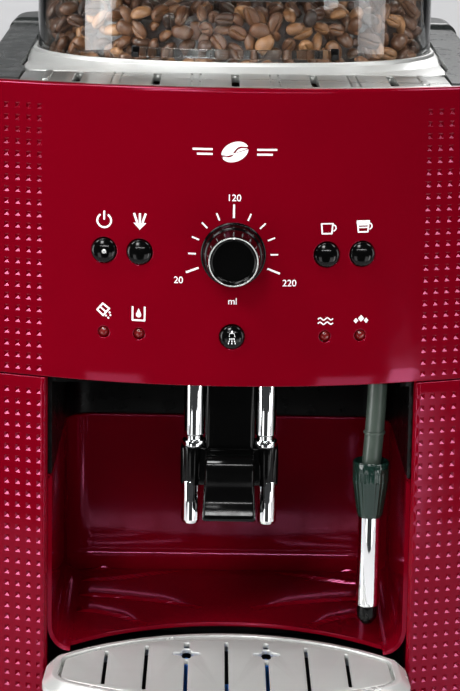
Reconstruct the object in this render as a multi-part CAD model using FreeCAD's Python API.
import FreeCAD, Part
import math
import os

V = FreeCAD.Vector
PARTS = "parts"
os.makedirs(PARTS, exist_ok=True)

# Bean-to-cup espresso machine, in millimetres. +Z is up, the front faces -Y, +X is the right side as seen
# from the front. The origin is on the table, under the middle of the machine.

# ---------------------------------------------------------------- driving dimensions
WIDTH = 245.0
DEPTH = 335.0
HEIGHT = 365.0
WALL = 3.0            # casing wall
LINER = 2.5           # thinner inner walls
GAP = 0.5             # gap at a sliding fit between big plastic parts
SEAM = 0.6            # visible seam between two casings
RUN = 0.08            # radial clearance of a shaft that turns in a hole

HALF = WIDTH / 2
GLAND = 2.0           # how far the cord gland stands out of the back
BACK = DEPTH / 2 - GLAND
TRAY_NOSE = -DEPTH / 2
PLANE = -105.5        # plane where the smooth front meets the dimpled bands
BAY_HALF = 87.0       # half width of the smooth front and of the cup bay
BULGE = 15.0          # how far the middle of the front stands forward of PLANE
REAR_CORNER = 18.0
FRONT_CORNER = 9.0

FEET = 4.0
BASE_TOP = 8.0
GRID_TOP = 40.0       # the surface that cups stand on
SHELF = 47.0          # the red shelf at the foot of the bay's back wall
SHELF_EDGE = 42.5     # the shelf's front edge, beside the drip tray
DRAWER_TOP = 128.0
PANEL_BOTTOM = 176.4
DECK = 315.0          # the flat top of the casing
CAP_TOP = 325.0       # top of the tank lid
SHOULDER = 322.0      # the casing's top where it meets the tank lid
HOPPER_RIM = 351.0

BAY_BACK = PLANE + 120.0
BAY_CORNER = 14.0
TANK_FRONT = PLANE + 223.5
CORD_R = 3.6          # radius of the power cord that the gland is made for
CAP_FRONT = PLANE + 219.0

CONTROL_ROW = 238.5   # height of the dial and of the upper row of buttons
LAMP_ROW = 200.0      # height of the rinse button and of the lamps
BUTTON_X = (43.0, 59.5)
BUTTON_R = 5.7
RINSE_R = 5.5
LAMP_R = 2.7
BUTTON_TRAVEL = 1.2
BUTTON_PLAY = 0.35    # radial clearance of a button in the panel
STEM = 7.4            # how far a button reaches back from the panel's face

OUTLET_Y = PLANE + 12.0
SPOUT_X = 18.2
TUBE_X = 17.0
BORE = 1.8            # radius of the way that coffee takes through tubes and nozzles

WAND_X = 70.0
WAND_Y = PLANE + 15.0
WAND_PIVOT = 179.0
WAND_R = 4.6
GRIP_X = 67.8         # the wand's lower half hangs a little inboard of its pivot

REARWARD = (0, 1, 0)
FORWARD = (0, -1, 0)
RIGHTWARD = (1, 0, 0)

# ---------------------------------------------------------------- plain shapes
def box(x0, x1, y0, y1, z0, z1):
    return Part.makeBox(x1 - x0, y1 - y0, z1 - z0, V(x0, y0, z0))


def rod(x, y, z, radius, length, axis=(0, 0, 1)):
    return Part.makeCylinder(radius, length, V(x, y, z), V(*axis))


def tube(x, y, z, outer, inner, length, axis=(0, 0, 1)):
    return rod(x, y, z, outer, length, axis).cut(rod(x, y, z, inner, length, axis))


def cone(x, y, z, r0, r1, length, axis=(0, 0, 1)):
    return Part.makeCone(r0, r1, length, V(x, y, z), V(*axis))


def prism(points, z0, z1):
    """An upright solid over a polygon of (x, y) points."""
    corners = [V(x, y, z0) for x, y in points]
    return Part.Face(Part.makePolygon(corners + corners[:1])).extrude(V(0, 0, z1 - z0))


def side_prism(points, x0, x1):
    """A solid over a polygon of (y, z) points, between two heights along X."""
    corners = [V(x0, y, z) for y, z in points]
    return Part.Face(Part.makePolygon(corners + corners[:1])).extrude(V(x1 - x0, 0, 0))


def upright_edges(solid):
    return [e for e in solid.Edges if abs(e.tangentAt(e.FirstParameter).z) > 0.9]


def rounded_box(x0, x1, y0, y1, z0, z1, radius):
    """A box with rounded upright edges."""
    solid = box(x0, x1, y0, y1, z0, z1)
    return solid.makeFillet(radius, upright_edges(solid))


def mirror_x(shape):
    return shape.mirror(V(0, 0, 0), V(*RIGHTWARD))


def fuse(shapes):
    whole = shapes[0]
    for shape in shapes[1:]:
        whole = whole.fuse(shape)
    return whole.removeSplitter()


def round_edges(solid, radius, wanted):
    """Rounds those edges of a solid whose middle point passes the test."""
    edges = [e for e in solid.Edges if wanted(e.valueAt((e.FirstParameter + e.LastParameter) / 2))]
    return solid.makeFillet(radius, edges)


# ---------------------------------------------------------------- bowed outlines
class Bow:
    """A closed plan outline: a bowed front, flat cheeks, rounded corners and straight sides."""

    def __init__(self, half, front, back, bow_radius, break_x, rear_corner, corner_r=None):
        self.half, self.front, self.back = half, front, back
        self.bow_radius, self.rear_corner = bow_radius, rear_corner
        self.turn = math.asin(break_x / bow_radius)
        self.break_x = break_x
        self.bow_y = front + bow_radius
        self.corner_r = corner_r or (half - break_x) / (1 - math.sin(self.turn))
        self.corner_x = half - self.corner_r
        cheek_end = self.corner_x + self.corner_r * math.sin(self.turn)
        break_y = self.bow_y - bow_radius * math.cos(self.turn)
        cheek_y = break_y + (cheek_end - break_x) * math.tan(self.turn)
        self.corner_y = cheek_y + self.corner_r * math.cos(self.turn)
        self.has_cheek = cheek_end > break_x + 0.01

    def face(self, inset, z):
        """The outline moved inwards by inset, as a flat face at height z."""
        bow, corner, rear = (r - inset for r in (self.bow_radius, self.corner_r, self.rear_corner))
        half, back = self.half - inset, self.back - inset
        rear_x, rear_y = self.half - self.rear_corner, self.back - self.rear_corner
        end = math.pi / 2

        def on_bow(angle):
            return V(bow * math.sin(angle), self.bow_y - bow * math.cos(angle), z)

        def on_corner(side, angle):
            x = self.corner_x + corner * math.sin(angle)
            return V(side * x, self.corner_y - corner * math.cos(angle), z)

        def on_rear(side, angle):
            x = rear_x + rear * math.cos(angle)
            return V(side * x, rear_y + rear * math.sin(angle), z)

        def arc(place, side, start, stop):
            middle = (start + stop) / 2
            return Part.Arc(place(side, start), place(side, middle), place(side, stop))

        edges = [Part.Arc(on_bow(-self.turn), on_bow(0), on_bow(self.turn))]
        if self.has_cheek:
            edges.append(Part.LineSegment(on_bow(self.turn), on_corner(1, self.turn)))
        edges += [
            arc(on_corner, 1, self.turn, end),
            Part.LineSegment(V(half, self.corner_y, z), V(half, rear_y, z)),
            arc(on_rear, 1, 0, end),
            Part.LineSegment(V(rear_x, back, z), V(-rear_x, back, z)),
            arc(on_rear, -1, end, 0),
            Part.LineSegment(V(-half, rear_y, z), V(-half, self.corner_y, z)),
            arc(on_corner, -1, end, self.turn),
        ]
        if self.has_cheek:
            edges.append(Part.LineSegment(on_corner(-1, self.turn), on_bow(-self.turn)))
        return Part.Face(Part.Wire([e.toShape() for e in edges]))

    def slab(self, inset, z0, z1):
        return self.face(inset, z0).extrude(V(0, 0, z1 - z0))

    def ring(self, outer, inner, z0, z1):
        return self.slab(outer, z0, z1).cut(self.slab(inner, z0, z1))

    def y_at(self, x, inset=0.0):
        """The y of the front surface, moved inwards by inset, at x."""
        x = abs(x)
        bow, corner = self.bow_radius - inset, self.corner_r - inset
        if x <= bow * math.sin(self.turn):
            return self.bow_y - math.sqrt(bow * bow - x * x)
        if x >= self.corner_x + corner * math.sin(self.turn):
            return self.corner_y - math.sqrt(corner * corner - (x - self.corner_x) ** 2)
        bow_end = self.bow_y - bow * math.cos(self.turn)
        return bow_end + (x - bow * math.sin(self.turn)) * math.tan(self.turn)


FRONT_RADIUS = (BAY_HALF**2 + BULGE**2) / (2 * BULGE)
BODY = Bow(HALF, PLANE - BULGE, BACK, FRONT_RADIUS, BAY_HALF, REAR_CORNER, FRONT_CORNER)
HOPPER = Bow(100.0, PLANE + 55.0, PLANE + 192.0, 150.0, 55.0, 22.0)
COLLAR = Bow(103.0, PLANE + 47.5, PLANE + 200.0, 1500.0, 90.0, 26.0)
FAR = 400.0

nodes = {}


def bay_shape(inset, front, z0, z1):
    """The U-shaped bay: straight sides, rounded back corners, open to the front."""
    half, back, radius = BAY_HALF - GAP - inset, BAY_BACK + LINER - inset, BAY_CORNER + LINER - inset
    solid = box(-half, half, front, back, z0, z1)
    return solid.makeFillet(radius, [e for e in upright_edges(solid) if e.CenterOfMass.y > back - 1])


# ---------------------------------------------------------------- casing
def casing():
    """The base, the black sides and back, and the two dimpled red pillars."""
    nodes["base_plate"] = BODY.slab(WALL + 0.3, FEET, BASE_TOP)
    feet = [rod(sx * 96, y, 0, 9, FEET) for sx in (-1, 1) for y in (-60, 138)]
    nodes["rubber_feet"] = Part.makeCompound(feet)

    skin = BODY.ring(0, WALL, FEET, DECK - 6)
    rear_seam = 96.0
    side = skin.common(box(0, FAR, BODY.corner_y, FAR, 0, FAR))
    side = side.cut(box(-rear_seam, rear_seam, 0, FAR, 0, FAR))
    vents = [box(HALF - 5, HALF + 5, y, y + 26, z, z + 2.2) for z in range(40, 90, 7) for y in (60, 96)]
    flange = box(82, rear_seam + 2, BACK - WALL - 2.4, BACK - WALL, BASE_TOP + 1, DECK - 8)
    side = side.cut(Part.makeCompound(vents)).fuse(flange).removeSplitter()
    nodes["side_panel_right"] = side
    nodes["side_panel_left"] = mirror_x(side)
    rear = box(-rear_seam + SEAM / 2, rear_seam - SEAM / 2, BACK - WALL + 0.1, BACK, FEET, DECK - 6)
    slots = [box(x - 1.5, x + 1.5, BACK - 5, BACK + 5, 30, 64) for x in range(-60, 61, 10)]
    inlet_hole = rod(72, BACK + 1, 34, 7.1, 5, FORWARD)
    screw_places = [(sx * 88, z) for sx in (-1, 1) for z in (24, 160, 296)]
    screw_holes = [rod(x, BACK + 1, z, 1.7, 7, FORWARD) for x, z in screw_places]
    nodes["rear_cover"] = rear.cut(Part.makeCompound(slots + [inlet_hole] + screw_holes))
    for side_name in ("side_panel_left", "side_panel_right"):
        nodes[side_name] = nodes[side_name].cut(Part.makeCompound(screw_holes))
    screws = []
    for x, z in screw_places:
        head = rod(x, BACK + 1.2, z, 3.0, 1.2, FORWARD)
        recess = box(x - 1.6, x + 1.6, BACK + 0.7, BACK + 2, z - 0.4, z + 0.4)
        screws.append(head.cut(recess).fuse(rod(x, BACK, z, 1.65, 5.2, FORWARD)))
    nodes["rear_screws"] = Part.makeCompound(screws)
    collar = tube(72, BACK + GLAND, 34, 9, CORD_R, GLAND, FORWARD)
    nodes["cord_gland"] = fuse([collar, tube(72, BACK, 34, 7, CORD_R, 8, FORWARD)])

    low_skin = BODY.ring(0, WALL, FEET, PANEL_BOTTOM - SEAM)
    pillar = low_skin.common(box(BAY_HALF, FAR, -FAR, BODY.corner_y - SEAM, 0, FAR))
    lip_front = BODY.y_at(BAY_HALF, WALL - 1)
    lip = box(BAY_HALF, BAY_HALF + LINER, lip_front, PLANE + 30, BASE_TOP + 0.2, PANEL_BOTTOM - SEAM)
    pillar = pillar.fuse(lip).common(BODY.slab(0, 0, FAR)).removeSplitter()
    nodes["pillar_right"] = pillar
    nodes["pillar_left"] = mirror_x(pillar)


def front_panel():
    """The red control panel, with holes for the dial, the buttons and the lamps."""
    panel = BODY.ring(0, WALL, PANEL_BOTTOM, DECK).common(box(-FAR, FAR, -FAR, BODY.corner_y - SEAM, 0, FAR))
    panel = round_edges(panel, 1.6, lambda p: p.z > DECK - 0.1 and abs(p.y - BODY.y_at(p.x)) < 0.4)
    front = PLANE - BULGE - 5
    reach = 30
    holes = [rod(0, front, CONTROL_ROW, 4.2, reach, REARWARD),
             rod(0, front, LAMP_ROW, RINSE_R + BUTTON_PLAY, reach, REARWARD)]
    for sx in (-1, 1):
        for x in BUTTON_X:
            holes.append(rod(sx * x, front, CONTROL_ROW, BUTTON_R + BUTTON_PLAY, reach, REARWARD))
            holes.append(rod(sx * x, front, LAMP_ROW, LAMP_R + 0.05, reach, REARWARD))
    nodes["front_panel"] = panel.cut(Part.makeCompound(holes))


def button(x, z, radius):
    """A domed round button with a stem and a flange behind the panel."""
    face = BODY.y_at(x)
    crown = 2.6
    dome_r = radius * 1.9

    def at(r, along):
        return V(x + r, face + along, z)

    def on_dome(angle):
        return at(dome_r * math.sin(angle), dome_r * (1 - math.cos(angle)) - crown)

    rim = math.asin(radius / dome_r)
    flange = radius + 1.3
    corners = [on_dome(rim), at(radius, 5.8), at(flange, 5.8), at(flange, 6.8), at(radius, 6.8),
               at(radius, STEM), at(0, STEM), on_dome(0)]
    edges = [Part.Arc(on_dome(0), on_dome(rim / 2), on_dome(rim)).toShape()]
    edges += [Part.LineSegment(p, q).toShape() for p, q in zip(corners, corners[1:])]
    return Part.Face(Part.Wire(edges)).revolve(V(x, face, z), V(*REARWARD), 360)


def controls():
    """Buttons, lamps, the dial with its shaft and bezel, and the board behind the panel."""
    near, far = BUTTON_X
    names = {-far: "power_button", -near: "steam_button", near: "cup_button", far: "double_cup_button"}
    for x, name in names.items():
        nodes[name] = button(x, CONTROL_ROW, BUTTON_R)
    nodes["rinse_button"] = button(0, LAMP_ROW, RINSE_R)

    lamps = []
    for sx in (-1, 1):
        for x in BUTTON_X:
            face = BODY.y_at(x)
            lamps.append(rod(sx * x, face + 1.4, LAMP_ROW, LAMP_R, 4.5, REARWARD))
    nodes["indicator_lamps"] = Part.makeCompound(lamps)

    front = BODY.front
    bezel = tube(0, front + 0.45, CONTROL_ROW, 15.0, 4.3, 1.6, FORWARD)
    nodes["dial_bezel"] = bezel.cut(BODY.slab(-0.02, 0, FAR))
    skirt = cone(0, front - 1.6, CONTROL_ROW, 14.2, 13.2, 3.0, FORWARD)
    body = cone(0, front - 4.6, CONTROL_ROW, 12.6, 11.6, 14.4, FORWARD)
    knob = fuse([skirt, body])
    knob = knob.cut(rod(0, front - 17.4, CONTROL_ROW, 10.2, 5, FORWARD))
    pointer = box(-0.8, 0.8, front - 4.8, front - 3.4, CONTROL_ROW + 12.4, CONTROL_ROW + 14.6)
    knob = knob.cut(pointer)
    bore = rod(0, front, CONTROL_ROW, 3.0, 14, FORWARD)
    nodes["volume_dial"] = knob.cut(bore)
    nodes["dial_shaft"] = rod(0, front + 17.0, CONTROL_ROW, 3.0, 31.0, FORWARD)
    board_y = PLANE + 3.4
    board = box(-68, 68, board_y, board_y + 1.6, LAMP_ROW - 8, CONTROL_ROW + 12)
    sensor = box(-8, 8, board_y - 6, board_y, CONTROL_ROW - 8, CONTROL_ROW + 8)
    switches = []
    for x, z in [(sx * x, CONTROL_ROW) for sx in (-1, 1) for x in BUTTON_X] + [(0, LAMP_ROW)]:
        switch_front = BODY.y_at(x) + STEM + BUTTON_TRAVEL + 0.15
        switches.append(box(x - 3, x + 3, switch_front, board_y, z - 3, z + 3))
    board = fuse([board, sensor] + switches)
    nodes["control_board"] = board.cut(rod(0, front, CONTROL_ROW, 3.0 + RUN, 30, REARWARD))


# ---------------------------------------------------------------- top
def top():
    """The black top frame, the ribbed silver cup plate and the collar that the hopper stands in."""
    plate_half = 100.0
    front, rear = BODY.corner_y, CAP_FRONT - SEAM
    rise = [(front, DECK - 6), (front, DECK), (rear, SHOULDER), (rear, DECK - 6)]
    top_skin = BODY.slab(0, DECK - 6, SHOULDER).common(side_prism(rise, -FAR, FAR))
    top_skin = round_edges(top_skin, 4.0, lambda p: p.z > DECK - 0.1 and abs(p.x) > HALF - 1)
    shoulder = BODY.slab(WALL + 0.4, DECK - 6, DECK - 0.6).common(box(-FAR, FAR, -FAR, BODY.corner_y, 0, FAR))
    opening = COLLAR.slab(-0.6, 0, FAR).fuse(box(-plate_half - 1, plate_half + 1, -FAR, PLANE + 60, 0, FAR))
    nodes["top_frame"] = fuse([top_skin, shoulder]).cut(opening)

    plate = BODY.slab(WALL + 0.5, DECK - 4, DECK).cut(COLLAR.slab(-0.5, 0, FAR))
    plate = plate.common(box(-plate_half, plate_half, -FAR, PLANE + 60, 0, FAR))
    cuts = []
    pitch = 36.8
    for n in range(-2, 3):
        cuts.append(box(n * pitch - 2.0, n * pitch + 2.0, BODY.front + 9, COLLAR.front - 4, 0, FAR))
    for n in (-1.5, -0.5, 0.5, 1.5):
        for side in (-1, 1):
            x = n * pitch + side * 2.0
            cuts.append(box(x - 0.5, x + 0.5, -FAR, FAR, DECK - 1.0, FAR))
    plate = plate.cut(Part.makeCompound(cuts))
    ribs = [box(sx * 88 - 1.6, sx * 88 + 1.6, PLANE + 6, PLANE + 44, DECK, DECK + 0.9) for sx in (-1, 1)]
    nodes["cup_plate"] = fuse([plate] + ribs)

    collar = COLLAR.slab(0, DECK - 4, DECK).fuse(HOPPER.slab(-2.4, DECK - 1, DECK + 4.4))
    nodes["hopper_collar"] = collar.cut(HOPPER.slab(-0.3, 0, FAR)).removeSplitter()

    cap = BODY.slab(0, DECK - 5.4, CAP_TOP).common(box(-FAR, FAR, CAP_FRONT, FAR, 0, FAR))
    cap = round_edges(cap, 6.5, lambda p: p.z > CAP_TOP - 0.1)
    hollow = BODY.slab(WALL, DECK - 6, CAP_TOP - WALL).common(box(-FAR, FAR, CAP_FRONT + WALL, FAR, 0, FAR))
    grip = rounded_box(-34, 34, CAP_FRONT + 16, CAP_FRONT + 34, CAP_TOP - 1.6, CAP_TOP + 1, 8.5)
    nodes["tank_lid"] = cap.cut(hollow).cut(grip)


# ---------------------------------------------------------------- hopper and grinder
HOPPER_FLOOR = 302.0
THROAT_Y = (HOPPER.front + HOPPER.back) / 2
DIAL_X = 62.0


def hopper():
    """The clear hopper with its lid, the beans, and the grinder under it."""
    wall = 2.4
    shell = HOPPER.slab(0, HOPPER_FLOOR - wall, HOPPER_RIM).cut(HOPPER.slab(wall, HOPPER_FLOOR, FAR))
    throat = rod(0, THROAT_Y, 0, 24, FAR)
    bar = HOPPER.ring(-1.5, 0, DECK + 6, DECK + 10.6).common(box(-47, 47, -FAR, HOPPER.corner_y, 0, FAR))
    dial_y = HOPPER.back - 24
    dial_hole = rod(DIAL_X, dial_y, 0, 4.8 + RUN, FAR)
    post = tube(DIAL_X, dial_y, HOPPER_FLOOR - 0.5, 11, 9.2, 38)
    nodes["bean_hopper"] = fuse([shell.cut(throat).cut(dial_hole), bar, post])
    fill = HOPPER.slab(wall + 0.4, HOPPER_FLOOR + 0.3, HOPPER_RIM - 5)
    nodes["coffee_beans"] = fill.cut(rod(DIAL_X, dial_y, 0, 11.4, FAR))
    head = HOPPER_FLOOR + 30
    wing = box(DIAL_X - 7, DIAL_X + 7, dial_y - 1.2, dial_y + 1.2, head + 9, head + 12)
    stem = rod(DIAL_X, dial_y, HOPPER_FLOOR - 8, 4.8, 39)
    nodes["grind_dial"] = fuse([rod(DIAL_X, dial_y, head, 8.6, 9.5), wing, stem])

    lid = HOPPER.slab(-1.6, HOPPER_RIM + 0.3, HEIGHT - 3)
    lid = round_edges(lid, 7.0, lambda p: p.z > HEIGHT - 3.1)
    lid = lid.cut(HOPPER.slab(wall, 0, HEIGHT - 5.4))
    pull = rounded_box(-26, 26, THROAT_Y - 5, THROAT_Y + 5, HEIGHT - 3.5, HEIGHT, 4.9)
    nodes["hopper_lid"] = fuse([lid, pull])
    nodes["lid_seal"] = HOPPER.ring(wall + 0.3, wall + 1.9, HOPPER_RIM - 2.5, HOPPER_RIM + 0.3).fuse(
        HOPPER.ring(0.4, wall + 1.9, HOPPER_RIM + 0.02, HOPPER_RIM + 0.3)).removeSplitter()

    y = THROAT_Y
    chute = box(-60, -33, y - 12, y + 12, 270, 290).cut(rod(0, y, 0, 30, FAR))
    nodes["grinder_housing"] = fuse([
        tube(0, y, 266, 34, 27.2, HOPPER_FLOOR - 2.6 - 266),
        tube(0, y, 262, 34, 5.0 + RUN, 4),
        chute.cut(box(-57, -20, y - 9, y + 9, 273, 287)),
    ])
    nodes["upper_burr"] = rod(0, y, 281, 27, 14).cut(cone(0, y, 280.9, 18.4, 23, 14.2))
    nodes["lower_burr"] = fuse([cone(0, y, 279, 18.5, 10, 16), rod(0, y, 271, 21, 8), rod(0, y, 242, 5, 30)])
    motor = fuse([rod(0, y, 196, 29, 52), rod(0, y, 189, 12, 8)])
    nodes["grinder_motor"] = motor.cut(rod(0, y, 241, 5.0 + RUN, 10))


# ---------------------------------------------------------------- cup bay, drawer and drip tray
TRAY_REAR = PLANE + 37.0
TRAY_REAR_RADIUS = 116.0
TRAY_NOSE_RADIUS = 150.0


def bay():
    """The black liner above the drawer, which also holds the outlet's rails and the wand's bush."""
    outer = bay_shape(0, BODY.y_at(80, WALL + 1), DRAWER_TOP + 0.8, PANEL_BOTTOM - 0.3)
    inner = bay_shape(LINER, -FAR, 0, PANEL_BOTTOM - 0.3 - LINER)
    liner = outer.cut(inner)
    outlet_way = box(-27, 27, -FAR, OUTLET_Y + 24, PANEL_BOTTOM - 5, PANEL_BOTTOM + 5)
    wand_way = rounded_box(WAND_X - 9.7, WAND_X + 9.7, -FAR, WAND_Y + 12, 0, PANEL_BOTTOM + 5, 4)
    liner = liner.common(BODY.slab(WALL + 0.3, 0, FAR)).cut(outlet_way)
    liner = liner.cut(wand_way.common(box(-FAR, FAR, -FAR, FAR, PANEL_BOTTOM - 5, FAR)))
    nodes["bay_liner"] = liner


def drawer():
    """The grounds drawer: a red U-shaped front with a shelf that slopes to the tray, and the bin."""
    front = BODY.y_at(80, WALL + 1)
    shelf_front = PLANE + 12
    low_front = box(-FAR, FAR, -FAR, shelf_front, 0, SHELF_EDGE - LINER)
    wall = bay_shape(0, front, BASE_TOP + 3, DRAWER_TOP).cut(bay_shape(LINER, -FAR, 0, FAR)).cut(low_front)
    back = BAY_BACK + 0.5
    cove = [(BAY_BACK - 18, SHELF), (BAY_BACK - 7, SHELF + 3), (BAY_BACK - 2, SHELF + 9), (back, SHELF + 18)]
    profile = [(shelf_front, SHELF_EDGE), *cove, (back, SHELF - LINER), (shelf_front, SHELF_EDGE - LINER)]
    shelf = side_prism(profile, -BAY_HALF, BAY_HALF).common(bay_shape(LINER - 0.01, -FAR, 0, FAR))
    tray_way = rod(0, TRAY_REAR - TRAY_REAR_RADIUS, 0, TRAY_REAR_RADIUS + 1.2, FAR)
    nodes["drawer_front"] = fuse([wall, shelf.cut(tray_way)])
    bin_front, bin_back = BAY_BACK + LINER + 0.1, BAY_BACK + 82
    outer = rounded_box(-74, 74, bin_front, bin_back, BASE_TOP + 0.4, DRAWER_TOP - 12, 10)
    inner = rounded_box(-72, 72, bin_front + 2, bin_back - 2, BASE_TOP + 2.4, FAR, 8)
    nodes["grounds_bin"] = outer.cut(inner)


def tray_slab(inset, z0, z1):
    """The drip tray's plan, moved inwards by inset: a bowed back, splayed sides and a bowed nose."""
    height = z1 - z0
    rear = rod(0, TRAY_REAR - TRAY_REAR_RADIUS, z0, TRAY_REAR_RADIUS - inset, height)
    nose = rod(0, TRAY_NOSE + TRAY_NOSE_RADIUS, z0, TRAY_NOSE_RADIUS - inset, height)
    wide, narrow = 87.6 - inset, 84.4 - inset
    sides = prism([(-wide, TRAY_NOSE), (wide, TRAY_NOSE), (narrow, TRAY_REAR), (-narrow, TRAY_REAR)], z0, z1)
    slab = sides.common(rear).common(nose).removeSplitter()
    for radius, at_rear in ((14.0, True), (18.0, False)):
        outer = [e for e in upright_edges(slab) if abs(e.CenterOfMass.x) > 60]
        corners = [e for e in outer if (e.CenterOfMass.y > PLANE - 17) == at_rear]
        slab = slab.makeFillet(radius - inset, corners)
    return slab


STAR_Y = PLANE + 5.0
SLOT_PITCH = 19.2


def slot(x, y0, y1, half, z0, z1):
    """An upright slot with rounded ends."""
    ends = [rod(x, y, z0, half, z1 - z0) for y in (y0, y1)]
    return fuse([box(x - half, x + half, y0, y1, z0, z1)] + ends)


def star(x, y, grow, z0, z1):
    """A four-lobed hole or post."""
    long_arm, short_arm = 6.0 + grow, 1.5 + grow
    return fuse([
        box(x - long_arm, x + long_arm, y - short_arm, y + short_arm, z0, z1),
        box(x - short_arm, x + short_arm, y - long_arm, y + long_arm, z0, z1),
        rod(x, y, z0, 3.4 + grow, z1 - z0),
    ])


def drip_tray():
    """The basin, its silver rim, the slotted grid and the blue level float."""
    basin_top = GRID_TOP - 7.0
    grid_seat = GRID_TOP - 4.4
    nodes["tray_basin"] = tray_slab(2.0, BASE_TOP + 0.4, basin_top).cut(tray_slab(4.5, BASE_TOP + 2.9, FAR))
    rim = round_edges(tray_slab(0, basin_top, GRID_TOP), 3.6, lambda p: p.z > GRID_TOP - 0.1)
    nodes["tray_rim"] = rim.cut(tray_slab(7.4, grid_seat, FAR)).cut(tray_slab(10.5, 0, FAR))
    grid = tray_slab(8.0, grid_seat + 0.2, GRID_TOP - 0.6).cut(tray_slab(9.8, 0, GRID_TOP - 3.0))
    cuts = [star(sx * SLOT_PITCH, STAR_Y, 0.5, 0, FAR) for sx in (-1, 1)]
    for n in range(-3, 4):
        x = n * SLOT_PITCH
        rear = TRAY_REAR - 16.5 - x * x / (2 * TRAY_REAR_RADIUS)
        nose = TRAY_NOSE + 15 + x * x / (2 * TRAY_NOSE_RADIUS)
        cuts.append(slot(x, nose, rear, 0.9, 0, FAR))
        if abs(n) == 1:
            cuts.append(slot(x, STAR_Y, rear, 1.5, 0, FAR))
    nodes["drip_grid"] = grid.cut(Part.makeCompound(cuts))
    float_body = rounded_box(-27, 27, STAR_Y - 22, STAR_Y + 9, BASE_TOP + 3.3, BASE_TOP + 13, 6)
    posts = [star(sx * SLOT_PITCH, STAR_Y, -0.5, BASE_TOP + 12, GRID_TOP - 4.6) for sx in (-1, 1)]
    nodes["level_float"] = fuse([float_body] + posts)


# ---------------------------------------------------------------- coffee outlet
def outlet():
    """The height-adjustable outlet: a black carriage with a pull, two chrome tubes and two nozzles."""
    y = OUTLET_Y
    column = rounded_box(-12.0, 12.0, y - 4, y + 14, 132, 190, 2.5)
    arms = [rounded_box(-23.5, 23.5, y - 3.2, y + 9, 122, 141, 3)]
    sleeves = [rod(sx * (TUBE_X + 0.6), y, 122.0, 4.3, 19.5) for sx in (-1, 1)]
    carriage = fuse([column] + arms + sleeves)
    for sx in (-1, 1):
        carriage = carriage.cut(rod(sx * TUBE_X, y, 141.0, 5.2, FAR))
        carriage = carriage.cut(rod(sx * SPOUT_X, y, 121.0, BORE, 30))
        carriage = carriage.cut(rod(sx * SPOUT_X, y, 100, 4.55, 24.5))
    rail_slot = [box(sx * 6 - 2.2, sx * 6 + 2.2, y + 9.5, y + 20, 100, FAR) for sx in (-1, 1)]
    nodes["outlet_carriage"] = carriage.cut(Part.makeCompound(rail_slot))

    profile = [(y - 4.0, 141.0), (y - 11.5, 138.5), (y - 13.6, 134.5), (y - 12.6, 124.0), (y - 15.5, 114.8),
               (y - 15.9, 109.2), (y - 13.8, 107.8), (y - 2.0, 107.8), (y - 2.0, 113.0), (y - 8.5, 114.5),
               (y - 7.0, 124.0), (y - 4.0, 131.0)]
    grip = side_prism(profile, -12.2, 12.2)
    flare = [(12.2, 107.0), (12.8, 114.0), (11.6, 130.0), (11.8, 142.0)]
    flare += [(-x, z) for x, z in reversed(flare)]
    corners = [V(x, y - 30, z) for x, z in flare]
    front = Part.Face(Part.makePolygon(corners + corners[:1])).extrude(V(0, 40, 0))
    nodes["outlet_pull"] = grip.common(front)

    tubes = []
    nozzles = []
    for sx in (-1, 1):
        pipe = fuse([rod(sx * TUBE_X, y, 146.4, 4.95, 43.6), rod(sx * TUBE_X, y, 141.1, 4.2, 5.4)])
        tubes.append(pipe.cut(rod(sx * TUBE_X, y, 130, BORE, 80)))
        spout = fuse([rod(sx * SPOUT_X, y, 104.0, 4.5, 20.4), cone(sx * SPOUT_X, y, 103.0, 3.9, 4.5, 1.0)])
        nozzles.append(spout.cut(rod(sx * SPOUT_X, y, 100, BORE, 30)))
    nodes["outlet_tubes"] = Part.makeCompound(tubes)
    nodes["outlet_nozzles"] = Part.makeCompound(nozzles)

    rails = [box(sx * 6 - 1.8, sx * 6 + 1.8, y + 10, y + 18, 150, 250) for sx in (-1, 1)]
    bridge = box(-20, 20, y + 18, y + 21, 150, 250)
    foot = box(-24, 24, y + 18, y + 36, PANEL_BOTTOM - 0.25, PANEL_BOTTOM + 3)
    nodes["outlet_rails"] = fuse([bridge, foot] + rails)


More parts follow.
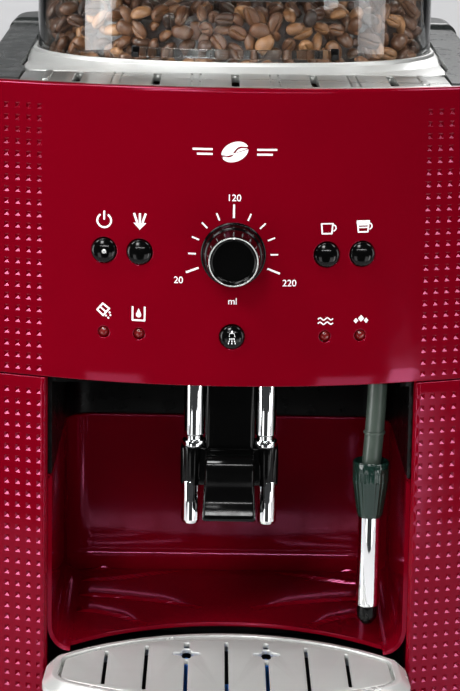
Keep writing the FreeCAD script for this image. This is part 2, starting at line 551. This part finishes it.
# ---------------------------------------------------------------- steam wand
def wand():
    """The swivel fork, and the wand that tilts on it: a bent arm, a grip, a chrome sleeve and a tip."""
    x, y, z = WAND_X, WAND_Y, WAND_PIVOT
    disc = rod(x, y, z + 10, 10.5, 3)
    ears = [box(x + s * 6.5 - 1.5, x + s * 6.5 + 1.5, y - 4, y + 4, z - 4, z + 10.5) for s in (-1, 1)]
    stem = rod(x, y, z + 12.5, 4, 14)
    fork = fuse([disc, stem] + ears)
    nodes["wand_fork"] = fork.cut(rod(x - 20, y, z, 2.0, 40, RIGHTWARD))
    bush = tube(x, y, z + 14.5, 8.0, 4.0 + RUN, 9)
    bracket = box(x - 8, x + 8, y, y + 17, z + 14.5, z + 18.5).cut(rod(x, y, 0, 7, FAR))
    leg = box(x - 8, x + 8, y + 13.5, y + 17, PANEL_BOTTOM - 0.25, z + 18.5)
    nodes["wand_bush"] = fuse([bush, bracket, leg])

    eye = rod(x - 4.6, y, z, 5.6, 9.2, RIGHTWARD)
    pin = rod(x - 8.0, y, z, 2.0 - RUN, 16, RIGHTWARD)
    low_x = GRIP_X
    bend = [(x, z), (x - 0.2, 166), (x - 0.9, 150), (low_x + 0.6, 139), (low_x, 130)]
    reach = [V(px, y, pz) for px, pz in bend]
    path = Part.BSplineCurve()
    path.interpolate(reach)
    route = Part.Wire([path.toShape()])
    disk = Part.Wire([Part.Circle(reach[0], reach[1] - reach[0], WAND_R).toShape()])
    arm = route.makePipeShell([disk], True, False)
    arm_solid = Part.Solid(arm) if arm.ShapeType == "Shell" else arm
    nodes["wand_arm"] = fuse([arm_solid, eye, pin, tube(x - 1.0, y, 147.2, 5.3, 4.0, 1.4)])

    grip_top, neck_top, grip_low = 134.0, 124.5, 106.6
    neck = cone(low_x, y, grip_low, 5.9, 8.7, neck_top - grip_low)
    body = fuse([neck, rod(low_x, y, neck_top, 8.7, grip_top - neck_top)])
    body = body.cut(rod(low_x, y, 129.6, 7.6, 10)).cut(rod(low_x, y, 100, 1.6, 40))
    nodes["wand_grip"] = body
    nodes["wand_sleeve"] = tube(low_x, y, 62.0, 5.6, 1.6, grip_low - 62.0)
    ball = Part.makeSphere(5.0, V(low_x, y, 57.5)).common(box(-FAR, FAR, -FAR, FAR, 0, 57.5))
    tip = fuse([rod(low_x, y, 57.5, 5.0, 4.5), ball])
    nodes["wand_tip"] = tip.cut(rod(low_x, y, 50, 1.0, 20))


# ---------------------------------------------------------------- water and brewing, inside the casing
def water_tank():
    """The lift-out tank at the back with its valve, and the seat it stands on."""
    y0, y1 = TANK_FRONT, BACK - WALL - 4.0
    outer = rounded_box(-104, 104, y0, y1, 92, DECK - 6.2, 10)
    inner = rounded_box(-101.8, 101.8, y0 + 2.2, y1 - 2.2, 94.2, FAR, 8)
    middle = (y0 + y1) / 2
    nodes["water_tank"] = outer.cut(inner).cut(rod(70, middle, 80, 5.0 + RUN, 30))
    nodes["tank_valve"] = fuse([rod(70, middle, 86, 5.0, 10), rod(70, middle, 94.6, 8, 2)])
    nodes["tank_seat"] = box(-106, 106, y0 - 1, y1 + 1, 84, 91.5).cut(rod(70, middle, 60, 6.0, 60))


def inner_works():
    """The frame, pump, heater, brew unit and power board that the casing hides."""
    side_x = BAY_HALF + LINER + 0.5
    back_y = TANK_FRONT - 2
    plate = box(side_x - 0.2, side_x + 2.2, PLANE + 32, back_y, BASE_TOP, 296)
    plates = [plate, mirror_x(plate)]
    rear = box(-side_x - 2, side_x + 2, back_y - 2, back_y, BASE_TOP, 296)
    cross = box(-side_x, side_x, BAY_BACK + 8, BAY_BACK + 10.4, DRAWER_TOP + 6, 182)
    nodes["inner_frame"] = fuse(plates + [rear, cross])
    brew_y = BAY_BACK + 44
    nodes["brew_cylinder"] = fuse([tube(0, brew_y, 140, 27, 22.1, 40), tube(0, brew_y, 140, 32, 22.1, 3)])
    nodes["brew_piston"] = fuse([rod(0, brew_y, 168, 22.0, 6), rod(0, brew_y, 173.5, 4, 13)])
    heater_y = BAY_BACK + 30
    block = rounded_box(44, 80, heater_y - 10, heater_y + 34, 190, 236, 5)
    ribs = [box(42, 82, heater_y - 12, heater_y + 36, z, z + 2) for z in (196, 206, 216, 226)]
    nodes["thermoblock"] = fuse([block] + ribs)
    stages = [(14, 5, 8), (22, 17, 42), (64, 10, 26)]
    pump = [rod(-62, BAY_BACK + y, 170, radius, length, REARWARD) for y, radius, length in stages]
    nodes["water_pump"] = fuse(pump)
    nodes["power_board"] = box(-86, -84.4, BAY_BACK + 16, BAY_BACK + 92, 130, 250).fuse(
        box(-84.4, -70, BAY_BACK + 70, BAY_BACK + 90, 190, 215)).removeSplitter()


def save_all():
    for name, shape in nodes.items():
        solids = shape.Solids
        bad = [s for s in solids if not s.isValid() or s.Volume <= 0]
        note = "BAD" if bad or not solids else ""
        print(f"{name:20s} solids {len(solids)} volume {shape.Volume / 1000:9.2f} cm3 {note}")
        out = solids[0] if len(solids) == 1 else Part.makeCompound(solids)
        out.exportStep(os.path.join(PARTS, name + ".step"))
    print(len(nodes), "nodes")


for make in (casing, front_panel, controls, top, hopper, bay, drawer, drip_tray, outlet, wand, water_tank,
             inner_works):
    make()
save_all()
